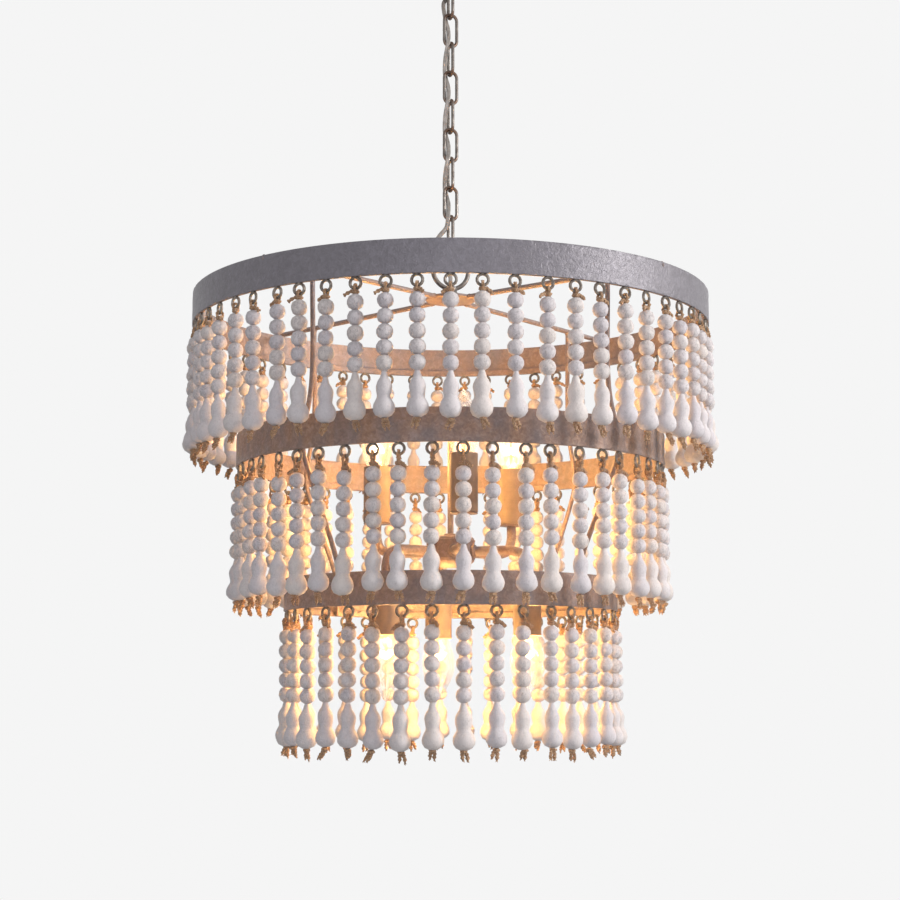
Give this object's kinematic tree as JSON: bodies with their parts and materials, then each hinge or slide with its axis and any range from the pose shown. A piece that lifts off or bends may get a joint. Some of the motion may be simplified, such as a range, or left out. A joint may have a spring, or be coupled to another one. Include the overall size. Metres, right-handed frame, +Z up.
{
  "type": "beaded chandelier",
  "caption": "Round three-tier chandelier of wood bead strings on stepped metal hoops, with candle lamps up and down inside, hung by a chain from a ceiling canopy.",
  "frame": {"origin": "centre of the crossbar's top face, on the ceiling", "axes": "+Z up, -Y towards the front of the picture, +X to its right; the chain hangs down the Z axis"},
  "size_m": [0.5662, 0.5649, 0.882],
  "materials": {
    "paint": "mottled matt grey paint",
    "chain": "satin grey-brown plating",
    "zinc": "zinc plated",
    "cord": "clear flat cord over tinned wire",
    "wood": "whitewashed turned wood, matt",
    "sleeve": "matt painted candle sleeve",
    "glass": "clear glass"
  },
  "bodies": {
    "ceiling": {"ceiling_crossbar": "zinc", "ceiling_canopy": "paint", "canopy_screw_left": "zinc", "canopy_screw_right": "zinc", "canopy_loop": "chain", "cord_canopy": "cord"},
    "hanger": {"chain_link_1": "chain", "chain_link_2": "chain", "chain_link_3": "chain", "chain_link_4": "chain", "chain_link_5": "chain", "chain_link_6": "chain", "chain_link_7": "chain", "chain_link_8": "chain", "chain_link_9": "chain", "cord_chain": "cord"},
    "fixture": {"hub_ring": "chain", "cord_hub": "cord", "cross_frame": "paint", "hoop_top": "paint", "hoop_middle": "paint", "hoop_bottom": "paint", "tier_rod_1": "paint", "tier_rod_2": "paint", "tier_rod_3": "paint", "tier_rod_4": "paint", "beaded_hem_top_1": "wood", "beaded_hem_top_2": "wood", "beaded_hem_top_3": "wood", "beaded_hem_middle_1": "wood", "beaded_hem_middle_2": "wood", "beaded_hem_middle_3": "wood", "beaded_hem_bottom_1": "wood", "beaded_hem_bottom_2": "wood", "beaded_hem_bottom_3": "wood", "stem_tube": "paint", "lamp_cluster": "paint", "candle_sleeve_1": "sleeve", "candle_sleeve_2": "sleeve", "candle_sleeve_3": "sleeve", "candle_sleeve_4": "sleeve", "candle_sleeve_5": "sleeve", "candle_sleeve_6": "sleeve"},
    "strand_top_1": {"strand_top_1": "wood"},
    "strand_top_2": {"strand_top_2": "wood"},
    "strand_top_3": {"strand_top_3": "wood"},
    "strand_middle_1": {"strand_middle_1": "wood"},
    "strand_middle_2": {"strand_middle_2": "wood"},
    "strand_middle_3": {"strand_middle_3": "wood"},
    "strand_bottom_1": {"strand_bottom_1": "wood"},
    "strand_bottom_2": {"strand_bottom_2": "wood"},
    "strand_bottom_3": {"strand_bottom_3": "wood"},
    "bulb_1": {"bulb_1": "glass"},
    "bulb_2": {"bulb_2": "glass"},
    "bulb_3": {"bulb_3": "glass"},
    "bulb_4": {"bulb_4": "glass"},
    "bulb_5": {"bulb_5": "glass"},
    "bulb_6": {"bulb_6": "glass"}
  },
  "joints": [
    {"name": "chain_swing", "type": "hinge", "parent": "ceiling", "child": "hanger", "pos_m": [0, 0, -0.0442], "axis": [-0.342, 0.9397, 0], "range_deg": [-15, 15]},
    {"name": "lamp_swing", "type": "hinge", "parent": "hanger", "child": "fixture", "pos_m": [0, 0, -0.3369], "axis": [0.9397, 0.342, 0], "range_deg": [-15, 15]},
    {"name": "strand_top_1_swing", "type": "hinge", "parent": "fixture", "child": "strand_top_1", "pos_m": [0, -0.272, -0.44395], "axis": [-1, 0, 0], "range_deg": [-12, 30]},
    {"name": "strand_top_2_swing", "type": "hinge", "parent": "fixture", "child": "strand_top_2", "pos_m": [0.23556, 0.136, -0.44395], "axis": [0.5, -0.866, 0], "range_deg": [-12, 30]},
    {"name": "strand_top_3_swing", "type": "hinge", "parent": "fixture", "child": "strand_top_3", "pos_m": [-0.23556, 0.136, -0.44395], "axis": [0.5, 0.866, 0], "range_deg": [-12, 30]},
    {"name": "strand_middle_1_swing", "type": "hinge", "parent": "fixture", "child": "strand_middle_1", "pos_m": [0.0117, -0.22319, -0.59395], "axis": [-0.9986, -0.0523, 0], "range_deg": [-12, 30]},
    {"name": "strand_middle_2_swing", "type": "hinge", "parent": "fixture", "child": "strand_middle_2", "pos_m": [0.18744, 0.12173, -0.59395], "axis": [0.5446, -0.8387, 0], "range_deg": [-12, 30]},
    {"name": "strand_middle_3_swing", "type": "hinge", "parent": "fixture", "child": "strand_middle_3", "pos_m": [-0.19914, 0.10147, -0.59395], "axis": [0.454, 0.891, 0], "range_deg": [-12, 30]},
    {"name": "strand_bottom_1_swing", "type": "hinge", "parent": "fixture", "child": "strand_bottom_1", "pos_m": [0.0126, -0.17154, -0.74395], "axis": [-0.9973, -0.0732, 0], "range_deg": [-12, 30]},
    {"name": "strand_bottom_2_swing", "type": "hinge", "parent": "fixture", "child": "strand_bottom_2", "pos_m": [0.14226, 0.09668, -0.74395], "axis": [0.5621, -0.8271, 0], "range_deg": [-12, 30]},
    {"name": "strand_bottom_3_swing", "type": "hinge", "parent": "fixture", "child": "strand_bottom_3", "pos_m": [-0.15485, 0.07486, -0.74395], "axis": [0.4352, 0.9003, 0], "range_deg": [-12, 30]},
    {"name": "bulb_1_out", "type": "slide", "parent": "fixture", "child": "bulb_1", "axis": [0, 0, 1], "range_m": [0, 0.025]},
    {"name": "bulb_2_out", "type": "slide", "parent": "fixture", "child": "bulb_2", "axis": [0, 0, -1], "range_m": [0, 0.025]},
    {"name": "bulb_3_out", "type": "slide", "parent": "fixture", "child": "bulb_3", "axis": [0, 0, 1], "range_m": [0, 0.025]},
    {"name": "bulb_4_out", "type": "slide", "parent": "fixture", "child": "bulb_4", "axis": [0, 0, -1], "range_m": [0, 0.025]},
    {"name": "bulb_5_out", "type": "slide", "parent": "fixture", "child": "bulb_5", "axis": [0, 0, 1], "range_m": [0, 0.025]},
    {"name": "bulb_6_out", "type": "slide", "parent": "fixture", "child": "bulb_6", "axis": [0, 0, -1], "range_m": [0, 0.025]}
  ]
}
